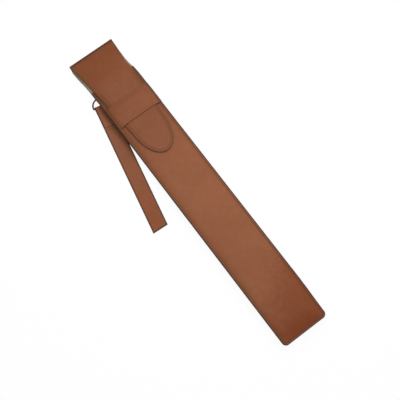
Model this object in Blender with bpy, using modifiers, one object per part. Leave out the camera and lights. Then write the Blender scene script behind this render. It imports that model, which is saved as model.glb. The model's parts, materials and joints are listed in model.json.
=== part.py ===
"""Drum stick bag: a long slim leather sheath with a fold-over flap whose tongue
tucks under a keeper band, a D-ring anchored near the upper left (-X) edge of the
back, and a hanging strap folded over the ring's bar.

Frame: the bag lies on its back. X runs across it, +Y towards the top fold and
+Z out of its front. The origin is the middle of the flat strip it rests on.
Every length below is in millimetres; MM turns it into metres.
"""

import math

import bmesh
import bpy
from mathutils import Matrix, Vector

MM = 0.001

# ---- bag outline -----------------------------------------------------------
LENGTH = 445.0            # top fold to bottom edge
TOP = LENGTH / 2          # y of the top fold
BOTTOM = -LENGTH / 2      # y of the bottom edge
HALF_WIDTH_TOP = 31.9     # half the bag's width at the top fold
HALF_WIDTH_BOTTOM = 32.8  # and at the bottom edge
WAIST = 0.8               # how much each side draws in just above the mouth
WAIST_Y = 184.0           # y where it draws in most
WAIST_SPREAD = 15.0       # how gradually it does so
CORNER = 6.0              # radius of the bottom corners
FLANGE = 4.5              # flat sewn margin along the sides and bottom
MOUTH = 174.2             # y of the pocket's mouth

# ---- layers ----------------------------------------------------------------
LEATHER = 1.3             # thickness of the panel leather
LINING = 0.4              # thickness of the lining cloth
AIR = 0.2                 # gap between neighbouring layers
SKIN = LINING + AIR + LEATHER
LINING_SPAN = (0.0, LINING)         # inner and outer face of the lining,
LEATHER_SPAN = (LINING + AIR, SKIN)  # and of the leather, from the base surface
LINING_INSET = 1.2        # lining edge inside the leather's edge
LINING_END_INSET = 0.6    # the same at the bottom
LINING_MOUTH_INSET = 1.0  # and at the mouth

# ---- swelling of the pocket ------------------------------------------------
SWELL_HALF = 27.6         # half-width of the swelling part inside the margins
FRONT_RISE = 5.8          # how far the pocket's front stands above the seam
BACK_SINK = 9.6           # how far its back hangs below the seam
SEAM_GAP = 0.1            # from the seam's middle to either lining
SEAM_Z = SEAM_GAP + BACK_SINK + SKIN
END_RUN = 24.0            # length over which the bottom reaches full depth
FRONT_FLAT = 7.0          # half-width of the front's level middle
BACK_FLAT_LEFT = 7.2      # extent of the back's level middle towards -X
BACK_FLAT_RIGHT = 9.0     # and towards +X
FLATTEN_START = 172.0     # y where the back begins to flatten towards the fold
FLATTEN_RUN = 42.0        # length over which it does

# ---- fold and flap ---------------------------------------------------------
FOLD_INNER = 1.0          # radius inside the fold, under the lining
FOLD_OUTER = FOLD_INNER + SKIN
FOLD_Y = TOP - FOLD_OUTER  # the crease's axis, which is the flap's hinge
FOLD_Z = 3.5
FOLD_CLEAR = 2.7          # leather left free to flex beside the crease
BACK_END_GAP = 0.6        # back panel's end short of that free leather

FLAP_HALF_TOP = 31.1      # half the flap's width at the fold
FLAP_HALF_KEEPER = 23.6   # and where it leaves the keeper band
TONGUE_HALF = 22.3        # half-width where the rounded tip begins
TONGUE_START = 96.0       # y where the rounded tip begins
TONGUE_TIP = 57.4         # y of the tip
TONGUE_TALL = TONGUE_START - TONGUE_TIP
FLAP_LIFT = 0.6           # flap lining above the front panel
FLAP_LAND = MOUTH + 2.0   # y where the flap comes down over the mouth

# ---- keeper band -----------------------------------------------------------
KEEPER_TOP = 146.0        # y of the keeper band's two edges
KEEPER_BOTTOM = 114.5
KEEPER_MIDDLE = (KEEPER_TOP + KEEPER_BOTTOM) / 2
KEEPER_LOOSE = 0.9        # room between the flap and the band
KEEPER_SEAM_GAP = 0.3     # band above the panel at its sewn ends
KEEPER_STEP_X = 27.2      # |x| where the band begins to come down to the panel
KEEPER_STEP_RUN = 2.8     # width over which it does

# ---- threads ---------------------------------------------------------------
STITCH_IN = 3.0           # stitch line from the edge
SEAM_THREAD = 0.3         # radius of the side and bottom seam threads
SEAM_THREAD_GAP = 0.16    # air between them and the leather
SEAM_THREAD_HOP = 0.5     # extra height where the front one crosses the keeper
MOUTH_THREAD = 0.12       # radius of the mouth's thread
MOUTH_THREAD_GAP = 0.15
FINE_THREAD = 0.2         # radius of the flap's and strap's threads
MEDIUM_THREAD = 0.25      # radius of the keeper's and tab's threads
THREAD_GAP = 0.3          # air under the flap, keeper and strap threads

# ---- ring, tab and strap ---------------------------------------------------
WIRE = 0.95               # ring wire radius
RING_HALF = 11.8          # half-width of the ring's centre line
RING_TALL = 11.5          # bar to crown, on the centre line
RING_CORNER = 1.2
RING_TILT = math.radians(8.0)
BAR = Vector((-28.6, 155.9, 2.35))  # middle of the ring's straight bar

STRAP_TURN = math.radians(11.9)  # the strap's lean from the bag's axis
STRAP_WIDTH = 21.0
STRAP_LENGTH = 174.2      # below the ring's bar, along its middle
STRAP_SKEW = 1.5          # how far the end is cut out of square on each side
STRAP_THICK = 1.2
STRAP_TAIL = 31.0         # sewn-down tail below the bar
STRAP_TAIL_RUN = 9.0      # length over which the tail closes on the strap
STRAP_LOOP = WIRE + 0.1 + STRAP_THICK / 2  # middle radius of its loop round the bar
STRAP_STACK = STRAP_THICK + 0.25  # middle of the strap to middle of its tail

TAB_WIDTH = 7.0
TAB_THICK = 1.0
TAB_LOOP = 2.3            # middle radius of the tab's loop round the wire
TAB_LONG = 17.0
TAB_CLEAR = 1.0           # gap between the back panel and the tab
TAB_PITCH = TAB_THICK + 0.3  # middle to middle of the tab's two layers
TAB_THREAD_SHIFT = 2.5    # the thread's depth follows the back this far towards +X
TAB_THREAD_DROP = 1.6     # thread below the tab's lower face there

# The strap's own directions: across it, down along it, and up the tilted ring.
ACROSS = Vector((math.cos(STRAP_TURN), -math.sin(STRAP_TURN), 0.0))
DOWN = Vector((-math.sin(STRAP_TURN), -math.cos(STRAP_TURN), 0.0))
CROWN = -DOWN * math.cos(RING_TILT) + Vector((0, 0, 1)) * math.sin(RING_TILT)
RING_TOP = BAR + CROWN * RING_TALL   # where the tab holds the ring

# Half a turn in eight steps, for the loops of the tab and the strap.
LOOP_TURNS = [math.pi / 2 + math.pi * k / 8 for k in range(9)]

# ---- grid stations ---------------------------------------------------------
# x of the grid lines over the swelling part, outwards from the middle.
FRONT_BREAKS = [FRONT_FLAT, 11.5, 14.5, 17.0, 19.5, 22.0, 24.8, SWELL_HALF]
BACK_BREAKS_LEFT = [BACK_FLAT_LEFT, 9.4, 11.3, 13.5, 16.0, 19.0, 22.0, 25.0, SWELL_HALF]
BACK_BREAKS_RIGHT = [BACK_FLAT_RIGHT, 12.0, 15.5, 18.5, 21.0, 23.5, 25.7, SWELL_HALF]

# y of the panels' rows, from the bottom edge up.
BODY_ROWS = [BOTTOM + up for up in (0.0, 0.8, 2.0, FLANGE, 7.5, 11.5, 16.5, 22.0,
                                    FLANGE + END_RUN)]
BODY_ROWS += [-120.0, -40.0, 40.0, 110.0]
FRONT_ROWS = BODY_ROWS + [MOUTH - 20.0, MOUTH]
BACK_ROWS = BODY_ROWS + [150.0, MOUTH - 2.0, 181.0, 188.0, 195.0, 202.0, 209.0,
                         FOLD_Y - FOLD_CLEAR - BACK_END_GAP]

# Columns as shares of the half-width, outwards from the middle.
FLAP_COLUMNS = [0.25, 0.5, 0.7, 0.86, 0.95]
KEEPER_COLUMNS = [0.3, 0.5, 0.65, 0.75, 0.82, 0.87, 0.91, 0.945, 1.0]
TAB_COLUMNS = [-1.0, -0.5, 0.0, 0.5, 1.0]
STRAP_COLUMNS = [-1.0, 0.0, 1.0]

# Rows of the flap: shares of the way from fold to mouth, y over the front, and
# shares of the way down the tongue's rounded tip.
BRIDGE_SHARES = [0.2, 0.45, 0.7, 0.92]
FLAP_ROWS = [MOUTH - 1.5, KEEPER_TOP + 4, KEEPER_MIDDLE, KEEPER_BOTTOM - 3, TONGUE_START]
TIP_SHARES = [0.3, 0.52, 0.7, 0.83, 0.92]  # a last one follows in each use

# Distance of the tab's and strap's rows from the ring, along them.
TAB_ROWS = [4.0, 7.0, 10.0, 13.5, TAB_LONG]
TAIL_ROWS = [STRAP_TAIL, 20.0, 10.0, 7.5, 5.5, 3.5, 1.7]
STRAP_ROWS = [20.0, 60.0, 110.0, 150.0, STRAP_LENGTH]

# Points of the threads: x outwards from the middle, y down the right side, and
# distance along the tab.
MOUTH_THREAD_X = [3.0, 9.0, 14.0, 18.0, 21.0, 23.5, 26.0]
KEEPER_THREAD_X = [7.0, 13.0, 18.0, 22.0, 25.0, 27.5]
SEAM_THREAD_Y = [MOUTH - 2.0, KEEPER_TOP + 2.2, KEEPER_TOP + 0.2, KEEPER_BOTTOM - 0.2,
                 KEEPER_BOTTOM - 2.2, 40.0, -60.0, -150.0, BOTTOM + CORNER]
FLAP_THREAD_Y = [MOUTH - 8.0, KEEPER_TOP + 4.0, 130.0, KEEPER_BOTTOM - 3.0, TONGUE_START]
TAB_THREAD_ALONG = [9.0, 12.5, 16.0]

for old in list(bpy.data.objects):
    bpy.data.objects.remove(old, do_unlink=True)

collection = bpy.data.collections.new("drum_stick_bag")
bpy.context.scene.collection.children.link(collection)


# ---- materials -------------------------------------------------------------
def material(name, colour, roughness, metallic=0.0):
    made = bpy.data.materials.new(name)
    made.use_nodes = True
    shader = made.node_tree.nodes["Principled BSDF"]
    shader.inputs["Base Color"].default_value = (*colour, 1.0)
    shader.inputs["Roughness"].default_value = roughness
    shader.inputs["Metallic"].default_value = metallic
    made.diffuse_color = (*colour, 1.0)
    return made


BROWN = material("brown_leather", colour=(0.25, 0.08, 0.026), roughness=0.5)
STRAP_BROWN = material("strap_leather", colour=(0.22, 0.072, 0.026), roughness=0.52)
CLOTH = material("lining_cloth", colour=(0.45, 0.39, 0.295), roughness=0.9)
COTTON = material("waxed_thread", colour=(0.095, 0.03, 0.013), roughness=0.6)
GUNMETAL = material("gunmetal_steel", colour=(0.06, 0.057, 0.054), roughness=0.35,
                    metallic=1.0)


# ---- small helpers ---------------------------------------------------------
def clamp(share):
    return min(1.0, max(0.0, share))


def ease(share):
    share = clamp(share)
    return share * share * (3 - 2 * share)


def blend(start, end, share):
    return start + (end - start) * share


def mirrored(half, middle=(0.0,)):
    """Values running outwards on one side, repeated negated on the other."""
    return [-value for value in reversed(half)] + list(middle) + list(half)


def mirrored_path(right, middle=()):
    """(x, y) points down the right side, then back up the left."""
    return right + list(middle) + [(-x, y) for x, y in reversed(right)]


# ---- surfaces --------------------------------------------------------------
def half_width(y):
    """Half the bag's width, without the rounded bottom corners."""
    straight = blend(HALF_WIDTH_TOP, HALF_WIDTH_BOTTOM, (TOP - y) / LENGTH)
    return straight - WAIST * math.exp(-(((y - WAIST_Y) / WAIST_SPREAD) ** 2))


def outline(y):
    """Half the width of the panel at y, corners rounded."""
    into = CORNER - (y - BOTTOM)
    cut = CORNER - math.sqrt(max(0.0, CORNER**2 - into**2)) if into > 0 else 0.0
    return half_width(y) - cut


def end_share(y):
    """0 at the bottom seam, 1 where the pocket reaches its full depth."""
    return 1 - (1 - clamp((y - BOTTOM - FLANGE) / END_RUN)) ** 3


def swell_x(x, y):
    """x scaled so that the swelling part always ends at the sewn margin."""
    return x * SWELL_HALF / (half_width(y) - FLANGE)


def side_share(x, flat):
    """0 over the level middle, 1 at the sewn margin."""
    return clamp((abs(x) - flat) / (SWELL_HALF - flat))


def front_share(x):
    return 1 - side_share(x, FRONT_FLAT) ** 3.5


def back_share(x):
    if x < 0:
        return (1 - side_share(x, BACK_FLAT_LEFT) ** 2) ** 3.4
    return (1 - side_share(x, BACK_FLAT_RIGHT) ** 3) ** 1.8


def front_base(x, y):
    """Inside face of the front lining."""
    return SEAM_Z + SEAM_GAP + FRONT_RISE * front_share(swell_x(x, y)) * end_share(y)


def back_base(x, y):
    """Inside face of the back lining. Above the mouth it flattens towards the fold."""
    pocket = SEAM_Z - SEAM_GAP - BACK_SINK * back_share(swell_x(x, y)) * end_share(y)
    return blend(pocket, FOLD_Z - FOLD_INNER, ease((y - FLATTEN_START) / FLATTEN_RUN))


def above(base, x, y, distance):
    """z of the surface that lies distance outside base, measured square to it."""
    step = 0.1
    slope_x = (base(x + step, y) - base(x - step, y)) / (2 * step)
    slope_y = (base(x, y + step) - base(x, y - step)) / (2 * step)
    return base(x, y) + distance * math.sqrt(1 + slope_x**2 + slope_y**2)


def front_face(x, y):
    """Outer face of the front panel."""
    return above(front_base, x, y, SKIN)


def back_face(x, y):
    """Outer face of the back panel, underneath."""
    return above(back_base, x, y, -SKIN)


def flap_base(x, y):
    """Underside of the flap lining where it lies on the front."""
    return front_face(x, y) + FLAP_LIFT


def keeper_base(x, y):
    """Underside of the keeper band: on the panel at the seams, over the flap between."""
    lift = FLAP_LIFT + SKIN + KEEPER_LOOSE
    share = 1 - ease((abs(x) - KEEPER_STEP_X) / KEEPER_STEP_RUN)
    return front_face(x, y) + blend(KEEPER_SEAM_GAP, lift, share)


def keeper_face(x, y):
    """Outer face of the keeper band."""
    return above(keeper_base, x, y, LEATHER)


def flap_half(y):
    """Half the flap's width down to where the tongue's rounded tip begins."""
    if y > KEEPER_BOTTOM:
        return blend(FLAP_HALF_TOP, FLAP_HALF_KEEPER, (TOP - y) / (TOP - KEEPER_BOTTOM))
    share = (KEEPER_BOTTOM - y) / (KEEPER_BOTTOM - TONGUE_START)
    return blend(FLAP_HALF_KEEPER, TONGUE_HALF, share)


# ---- builders --------------------------------------------------------------
def add_object(name, data):
    made = bpy.data.objects.new(name, data)
    collection.objects.link(made)
    return made


def sheet(name, rows, span, mat):
    """A shell: rows of points (mm) carried on a grid, thickened along its normals
    between the two distances in span."""
    inner, outer = span
    ny, nx = len(rows) - 1, len(rows[0]) - 1
    bm = bmesh.new()
    bmesh.ops.create_grid(bm, x_segments=nx, y_segments=ny, size=1.0)
    for vert in bm.verts:
        i = round((vert.co.x + 1) / 2 * nx)
        j = round((vert.co.y + 1) / 2 * ny)
        vert.co = Vector(rows[j][i]) * MM
    mesh = bpy.data.meshes.new(name)
    bm.to_mesh(mesh)
    bm.free()
    made = add_object(name, mesh)
    mesh.materials.append(mat)
    thick = made.modifiers.new("thickness", "SOLIDIFY")
    thick.thickness = (outer - inner) * MM
    thick.offset = (inner + outer) / (outer - inner)
    thick.use_even_offset = True
    mesh.shade_smooth()
    mesh.set_sharp_from_angle(angle=math.radians(40))
    return made


def cord(name, path, radius, mat=COTTON, closed=False, bevel_resolution=0):
    """A thread or wire: a poly curve through path (mm) with a bevel."""
    curve = bpy.data.curves.new(name, "CURVE")
    curve.dimensions = "3D"
    curve.bevel_depth = radius * MM
    curve.bevel_resolution = bevel_resolution
    curve.use_fill_caps = not closed
    spline = curve.splines.new("POLY")
    spline.points.add(len(path) - 1)
    for point, at in zip(spline.points, path):
        point.co = (*(Vector(at) * MM), 1.0)
    spline.use_cyclic_u = closed
    spline.use_smooth = True
    curve.materials.append(mat)
    return add_object(name, curve)


def set_origin(made, at):
    """Moves the object's origin to a point (mm) without moving its shape."""
    made.location = Vector(at) * MM
    made.data.transform(Matrix.Translation(-Vector(at) * MM))


# ---- panels and linings ----------------------------------------------------
def panel_row(base, y, breaks, inset):
    """Points across at y: the sewn margins with the swelling part between."""
    edge = outline(y) - inset
    inner = min(half_width(y) - FLANGE, edge - 0.6)
    left, right = breaks
    swell = [-at for at in reversed(left)] + [0.0] + right
    columns = [-edge] + [at * inner / SWELL_HALF for at in swell] + [edge]
    return [(x, y, base(x, y)) for x in columns]


def front():
    breaks = (FRONT_BREAKS, FRONT_BREAKS)
    lining_ys = [BOTTOM + LINING_END_INSET] + FRONT_ROWS[1:-1] + [MOUTH - LINING_MOUTH_INSET]
    rows = [panel_row(front_base, y, breaks, 0.0) for y in FRONT_ROWS]
    lining_rows = [panel_row(front_base, y, breaks, LINING_INSET) for y in lining_ys]
    sheet("front_panel", rows, LEATHER_SPAN, BROWN)
    sheet("front_lining", lining_rows, LINING_SPAN, CLOTH)


def back():
    """Rows run from +X to -X so that the normals point down."""
    breaks = (BACK_BREAKS_LEFT, BACK_BREAKS_RIGHT)
    lining_ys = [BOTTOM + LINING_END_INSET] + BACK_ROWS[1:]
    rows = [panel_row(back_base, y, breaks, 0.0)[::-1] for y in BACK_ROWS]
    lining_rows = [panel_row(back_base, y, breaks, LINING_INSET)[::-1] for y in lining_ys]
    sheet("back_panel", rows, LEATHER_SPAN, BROWN)
    sheet("back_lining", lining_rows, LINING_SPAN, CLOTH)


# ---- flap ------------------------------------------------------------------
def flap_slope(x):
    """Angle at which the flap runs straight from the fold up to the mouth."""
    rise = flap_base(x, MOUTH) - FOLD_Z
    run = FOLD_Y - FLAP_LAND
    return math.atan2(rise, run) - math.asin(FOLD_INNER / math.hypot(rise, run))


def crease_point(x, turn):
    return (x, FOLD_Y + FOLD_INNER * math.cos(turn), FOLD_Z + FOLD_INNER * math.sin(turn))


def bridge_point(column, share):
    """A point on the straight run between the fold and the mouth."""
    y = blend(FOLD_Y, FLAP_LAND, share)
    x = column * flap_half(y)
    _, start_y, start_z = crease_point(x, math.pi / 2 - flap_slope(x))
    along = (start_y - y) / (start_y - FLAP_LAND)
    return (x, y, blend(start_z, flap_base(x, MOUTH), along))


def tip_point(column, share, inset):
    x = column * TONGUE_HALF * math.sqrt(1 - share**2)
    reach = share + (1 - share) * (1 - column**2) * share**6
    y = TONGUE_START - (TONGUE_TALL - inset) * reach
    return (x, y, flap_base(x, y))


def flap_rows(columns, inset):
    """Rows from under the crease, round it, up over the mouth and down to the tip."""
    rows = []
    for k in range(9):
        row = []
        for column in columns:
            x = column * flap_half(TOP)
            row.append(crease_point(x, -math.pi / 2 + (math.pi - flap_slope(x)) * k / 8))
        rows.append(row)
    for share in BRIDGE_SHARES:
        rows.append([bridge_point(column, share) for column in columns])
    for y in FLAP_ROWS:
        xs = [column * flap_half(y) for column in columns]
        rows.append([(x, y, flap_base(x, y)) for x in xs])
    for share in TIP_SHARES + [0.975]:
        rows.append([tip_point(column, share, inset) for column in columns])
    return [row[::-1] for row in rows]


def flap():
    """The lining leaves out the leather's outermost columns."""
    sheet("flap", flap_rows(mirrored(FLAP_COLUMNS + [1.0]), 0.0), LEATHER_SPAN, BROWN)
    sheet("flap_lining", flap_rows(mirrored(FLAP_COLUMNS), LINING_INSET), LINING_SPAN, CLOTH)


# ---- keeper band -----------------------------------------------------------
def keeper_band():
    rows = []
    for y in (KEEPER_BOTTOM, KEEPER_MIDDLE, KEEPER_TOP):
        xs = [column * half_width(y) for column in mirrored(KEEPER_COLUMNS)]
        rows.append([(x, y, keeper_base(x, y)) for x in xs])
    sheet("keeper_band", rows, (0.0, LEATHER), BROWN)


# ---- threads ---------------------------------------------------------------
def above_front(x, y):
    """Height of the front seam thread, which climbs over the keeper band."""
    face = front_face(x, y)
    if KEEPER_BOTTOM - 1.0 < y < KEEPER_TOP + 1.0:
        face = keeper_face(x, max(KEEPER_BOTTOM, min(KEEPER_TOP, y))) + SEAM_THREAD_HOP
    return face + SEAM_THREAD_GAP + SEAM_THREAD


def below_back(x, y):
    return back_face(x, y) - SEAM_THREAD_GAP - SEAM_THREAD


def seam_threads():
    """Down the right side, round the bottom and up the left, STITCH_IN from the edge."""
    right = [(half_width(y) - STITCH_IN, y) for y in SEAM_THREAD_Y]
    bend = CORNER - STITCH_IN
    for k in range(1, 5):
        turn = math.pi / 2 * k / 4
        right.append((half_width(BOTTOM) - CORNER + bend * math.cos(turn),
                      BOTTOM + CORNER - bend * math.sin(turn)))
    for name, height in (("front_seam_thread", above_front), ("back_seam_thread", below_back)):
        cord(name, [(x, y, height(x, y)) for x, y in mirrored_path(right)], SEAM_THREAD)


def mouth_thread():
    y = MOUTH - STITCH_IN
    lift = MOUTH_THREAD_GAP + MOUTH_THREAD
    path = [(x, y, front_face(x, y) + lift) for x in mirrored(MOUTH_THREAD_X, middle=())]
    cord("mouth_thread", path, MOUTH_THREAD)


def flap_thread():
    right = [(flap_half(y) - STITCH_IN, y) for y in FLAP_THREAD_Y]
    for share in TIP_SHARES + [0.98]:
        right.append(((TONGUE_HALF - STITCH_IN) * math.sqrt(1 - share**2),
                      TONGUE_START - (TONGUE_TALL - STITCH_IN) * share))
    path = mirrored_path(right, middle=[(0.0, TONGUE_TIP + STITCH_IN)])
    lift = SKIN + THREAD_GAP + FINE_THREAD
    cord("flap_thread", [(x, y, flap_base(x, y) + lift) for x, y in path], FINE_THREAD)


def keeper_threads():
    lift = THREAD_GAP + MEDIUM_THREAD
    for label, y in (("upper", KEEPER_TOP - STITCH_IN), ("lower", KEEPER_BOTTOM + STITCH_IN)):
        path = [(x, y, keeper_face(x, y) + lift) for x in mirrored(KEEPER_THREAD_X)]
        cord(f"keeper_{label}_thread", path, MEDIUM_THREAD)


# ---- ring ------------------------------------------------------------------
def d_ring():
    """Along the bar, round one corner, over the crown and round the other corner."""
    flat = RING_HALF - RING_CORNER
    corner = []
    for k in (1, 2):
        turn = math.pi / 2 * k / 3
        corner.append((flat + RING_CORNER * math.sin(turn),
                       RING_CORNER * (1 - math.cos(turn))))
    loop = [(-flat + 2 * flat * k / 4, 0.0) for k in range(5)] + corner
    for k in range(17):
        turn = math.pi * k / 16
        loop.append((RING_HALF * math.cos(turn),
                     RING_CORNER + (RING_TALL - RING_CORNER) * math.sin(turn) ** 0.9))
    loop += [(-side, up) for side, up in reversed(corner)]
    path = [BAR + ACROSS * side + CROWN * up for side, up in loop]
    made = cord("d_ring", path, WIRE, mat=GUNMETAL, closed=True, bevel_resolution=2)
    set_origin(made, RING_TOP)


# ---- tab -------------------------------------------------------------------
def tab_spot(along, column):
    return RING_TOP - DOWN * along + ACROSS * column * TAB_WIDTH / 2


def tab_layer_row(along, drop, loop_z, join_start, join_run):
    """A row that eases from the loop's height to drop below the tab's upper layer."""
    near = ease((along - join_start) / join_run)
    row = []
    for column in TAB_COLUMNS:
        x, y = tab_spot(along, column).xy
        sewn = back_face(x, y) - TAB_CLEAR - TAB_THICK / 2 - drop
        row.append((x, y, min(blend(loop_z, sewn, near), sewn)))
    return row


def ring_tab():
    """Upper layer under the back panel, down to the ring, round its wire and back."""
    rows = [tab_layer_row(along, drop=0.0, loop_z=RING_TOP.z + TAB_LOOP,
                          join_start=2.0, join_run=6.0) for along in reversed(TAB_ROWS)]
    for turn in LOOP_TURNS:
        z = RING_TOP.z + TAB_LOOP * math.sin(turn)
        rows.append([(*tab_spot(TAB_LOOP * math.cos(turn), column).xy, z)
                     for column in TAB_COLUMNS])
    rows += [tab_layer_row(along, drop=TAB_PITCH, loop_z=RING_TOP.z - TAB_LOOP,
                           join_start=1.0, join_run=7.0) for along in TAB_ROWS]
    sheet("ring_tab", rows, (-TAB_THICK / 2, TAB_THICK / 2), BROWN)


def tab_thread():
    path = []
    for along in TAB_THREAD_ALONG:
        x, y = tab_spot(along, 0.0).xy
        tab_under = back_face(x + TAB_THREAD_SHIFT, y) - TAB_CLEAR - TAB_PITCH - TAB_THICK
        path.append((x, y, tab_under - TAB_THREAD_DROP))
    cord("tab_thread", path, MEDIUM_THREAD)


# ---- strap -----------------------------------------------------------------
def strap_point(along, column, z):
    """z is measured from the bar's middle."""
    spot = BAR + DOWN * along + ACROSS * column * STRAP_WIDTH / 2
    return (*spot.xy, BAR.z + z)


def strap():
    """Tail end, back to the bar, round it and down the full length."""
    rows = []
    for along in TAIL_ROWS:
        z = blend(STRAP_LOOP, STRAP_STACK - STRAP_LOOP, ease(along / STRAP_TAIL_RUN))
        rows.append([strap_point(along, column, z) for column in STRAP_COLUMNS])
    for turn in LOOP_TURNS:
        along, z = STRAP_LOOP * math.cos(turn), STRAP_LOOP * math.sin(turn)
        rows.append([strap_point(along, column, z) for column in STRAP_COLUMNS])
    for along in STRAP_ROWS:
        skew = STRAP_SKEW if along == STRAP_LENGTH else 0.0
        rows.append([strap_point(along - skew * column, column, -STRAP_LOOP)
                     for column in STRAP_COLUMNS])
    made = sheet("strap", rows, (-STRAP_THICK / 2, STRAP_THICK / 2), STRAP_BROWN)
    set_origin(made, BAR)


def strap_thread():
    """Across the tail, near its end."""
    tail_top = STRAP_STACK - STRAP_LOOP + STRAP_THICK / 2
    path = [strap_point(STRAP_TAIL - STITCH_IN, column, tail_top + THREAD_GAP + FINE_THREAD)
            for column in (-0.82, 0.0, 0.82)]
    set_origin(cord("strap_thread", path, FINE_THREAD), BAR)


# ---- hinge -----------------------------------------------------------------
def flap_hinge():
    """An empty on the crease's axis that carries the flap, its lining and thread."""
    hinge = add_object("flap_hinge_axis", None)
    hinge.location = Vector((0.0, FOLD_Y, FOLD_Z)) * MM
    bpy.context.view_layer.update()
    for name in ("flap", "flap_lining", "flap_thread"):
        moved = bpy.data.objects[name]
        moved.parent = hinge
        moved.matrix_parent_inverse = hinge.matrix_world.inverted()


front()
back()
flap()
keeper_band()
seam_threads()
mouth_thread()
flap_thread()
keeper_threads()
d_ring()
ring_tab()
tab_thread()
strap()
strap_thread()
flap_hinge()
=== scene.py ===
"""A leather drum stick bag, lying on its back on a clear table.

X runs across the bag, +Y up its length to the fold, and +Z out of its front. The flap is
the back panel carried on over the fold; it comes down the front and under a keeper band.
A tab on the back holds a D-ring with a strap. Sizes are in mm unless a name says otherwise.
"""

import json
import math

import bpy
import numpy as np
from mathutils import Matrix, Vector


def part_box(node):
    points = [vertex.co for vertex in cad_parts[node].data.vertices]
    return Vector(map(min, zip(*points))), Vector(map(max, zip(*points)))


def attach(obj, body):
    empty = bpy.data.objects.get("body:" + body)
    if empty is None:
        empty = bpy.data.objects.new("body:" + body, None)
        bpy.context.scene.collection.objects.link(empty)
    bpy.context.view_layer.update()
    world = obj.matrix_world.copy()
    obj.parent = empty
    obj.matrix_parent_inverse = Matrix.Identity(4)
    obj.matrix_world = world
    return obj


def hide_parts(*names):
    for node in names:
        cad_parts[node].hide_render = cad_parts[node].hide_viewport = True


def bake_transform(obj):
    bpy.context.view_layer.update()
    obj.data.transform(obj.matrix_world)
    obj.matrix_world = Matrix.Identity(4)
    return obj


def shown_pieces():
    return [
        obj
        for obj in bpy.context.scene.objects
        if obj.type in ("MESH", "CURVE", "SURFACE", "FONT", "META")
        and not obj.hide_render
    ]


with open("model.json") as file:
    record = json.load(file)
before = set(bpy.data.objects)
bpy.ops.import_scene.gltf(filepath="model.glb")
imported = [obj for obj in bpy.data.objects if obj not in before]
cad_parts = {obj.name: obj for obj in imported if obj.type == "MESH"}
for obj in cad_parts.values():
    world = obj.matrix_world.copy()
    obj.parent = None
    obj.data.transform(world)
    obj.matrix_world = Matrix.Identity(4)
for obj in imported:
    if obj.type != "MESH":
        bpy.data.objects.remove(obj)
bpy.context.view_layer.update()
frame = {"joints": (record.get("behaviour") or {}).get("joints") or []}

MM = 0.001
joints = {joint["name"]: joint for joint in frame["joints"]}


def box_mm(node):
    low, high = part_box(node)
    return np.array(low) / MM, np.array(high) / MM


# ---- dimensions of the bag --------------------------------------------------------
back_low, back_high = box_mm("back_panel")
front_low, front_high = box_mm("front_panel")
flap_low, flap_high = box_mm("flap")
keeper_low, keeper_high = box_mm("keeper_band")

TOP = flap_high[1]
BOTTOM = back_low[1]
LENGTH = TOP - BOTTOM
MOUTH = front_high[1]
HALF_TOP = 31.9
HALF_BOTTOM = back_high[0] + 0.01
WAIST = 0.8  # how far each side draws in below the fold
WAIST_Y = 184.0
CORNER = 6.0

LEATHER = 1.3
LINING = 0.4
AIR = 0.2  # between leather and lining
SKIN = LEATHER + LINING + AIR
EDGE = 0.42  # how far a rounded edge reaches beyond its grid
LINING_EDGE = 0.18

FLANGE = 4.5  # flat sewn margin
SWELL_HALF = 27.6  # half width of the swell, where the bag is widest
SEAM_GAP = 0.1  # from the seam's plane to the lining of either panel
SEAM_Z = front_high[2] - SKIN - 5.8 - SEAM_GAP
FRONT_RISE = 4.4  # the leather settles a little below the frame's solid
BACK_SINK = SEAM_Z - SKIN - SEAM_GAP - back_low[2]

FOLD_Y, FOLD_Z = (np.array(joints["flap_open"]["pos_m"]) / MM)[1:]
FOLD_INNER = 1.0  # inside radius of the fold
JOIN_Y = 214.0  # where the panel's own leather hands over to the piece that bends
FLAP_HALF_TOP = flap_high[0]
FLAP_HALF_KEEPER = 23.6
TONGUE_HALF = 22.3
TONGUE_START = 96.0  # below this the flap rounds off to its tip
TONGUE_TIP = flap_low[1]
FLAP_LIFT = 0.36  # flap above the front panel
KEEPER_BOTTOM = keeper_low[1]
KEEPER_TOP = keeper_high[1]

STITCH_IN = 3.0
PITCH = 3.35

# ---- dimensions of the ring, tab and strap ------------------------------------------
BAR = np.array(joints["strap_swing"]["pos_m"]) / MM  # middle of the ring's straight bar
RING_AXIS = np.array(joints["ring_swing"]["pos_m"]) / MM  # top of the ring's bow
ACROSS = np.array(joints["strap_swing"]["axis"], float)
ACROSS /= np.linalg.norm(ACROSS)
DOWN = np.array([ACROSS[1], -ACROSS[0], 0.0])  # along the strap to its free end
CROWN = (RING_AXIS - BAR) / np.linalg.norm(RING_AXIS - BAR)
RING_TALL = np.linalg.norm(RING_AXIS - BAR)
RING_HALF = 11.8
RING_CORNER = 1.2
WIRE = 0.95  # wire radius
STRAP_WIDTH = 21.0
STRAP_LENGTH = 174.2
STRAP_SKEW = 1.5  # the free end is cut a little off square
STRAP_THICK = 1.2
STRAP_TAIL = 31.0
TAB_WIDTH = 7.0
TAB_THICK = 1.0
TAB_LOOP = 2.3
TAB_LONG = 17.0

# ---- grids and surface attributes ----------------------------------------------------
RIM_STEPS = 8  # steps round a rounded edge
RIM_SQUARENESS = 0.62  # 1 is round, less is squarer
BACK_ROWS, FOLD_ROWS, SLOPE_ROWS, FLAT_ROWS = 6, 21, 59, 73  # of the flap, before its tip
TONGUE_ROWS = 41
TAB_ROWS = 26  # on each face of the tab
FLAT_Y = 165.0  # where the flap's grid gets finer
FAR = 9.0  # a distance to edge or seam that is too great to mark the leather
# Starts of the texture coordinates on each piece; the panels start from 0.
FLAP_PLACE, TAB_PLACE, STRAP_PLACE, INSIDE_PLACE = 400.0, 500, 600, 40.0
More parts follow.
